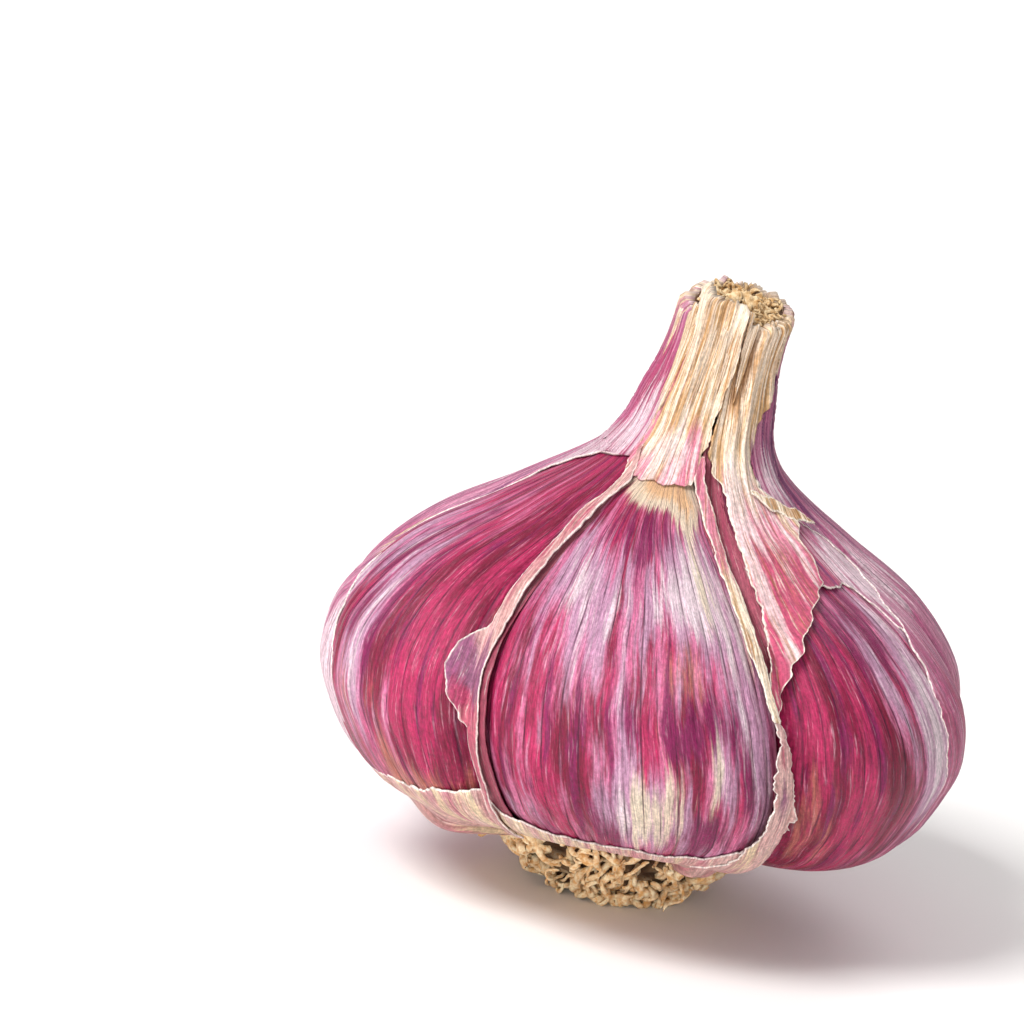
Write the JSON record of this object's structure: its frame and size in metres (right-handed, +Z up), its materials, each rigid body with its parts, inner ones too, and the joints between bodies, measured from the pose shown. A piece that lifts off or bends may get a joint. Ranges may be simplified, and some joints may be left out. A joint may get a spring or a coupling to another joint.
{
  "type": "garlic bulb",
  "caption": "Purple garlic bulb with fat striped cloves, torn papery skins, a cut dried neck and a tuft of dried roots that it stands on.",
  "frame": {"origin": "middle of the small flat spot of pressed roots that the bulb rests on", "axes": "+Z up along the bulb's axis, -Y towards the side with the fully bared clove, +X to its right"},
  "size_m": [0.0629, 0.0657, 0.0616],
  "materials": {
    "roots": "matt, dry and fibrous",
    "stalk": "matt, spongy at the cut",
    "clove_skin": "satin, striped crimson, purple and cream from the roots to the tip",
    "wrapper": "matt and papery, purple veins with pale torn edges",
    "sheath": "matt, dry and ribbed",
    "inner_skin": "matt, thin and papery with white torn edges"
  },
  "bodies": {
    "root": {"root_plate": "roots", "stalk": "stalk", "clove_front": "clove_skin", "clove_left": "clove_skin", "clove_right": "clove_skin", "clove_back_left": "clove_skin", "clove_back_right": "clove_skin", "clove_back": "clove_skin", "outer_wrapper": "wrapper", "front_sheath": "sheath", "right_sheath": "sheath", "inner_skin": "inner_skin", "shoulder_skin": "inner_skin"}
  },
  "joints": []
}
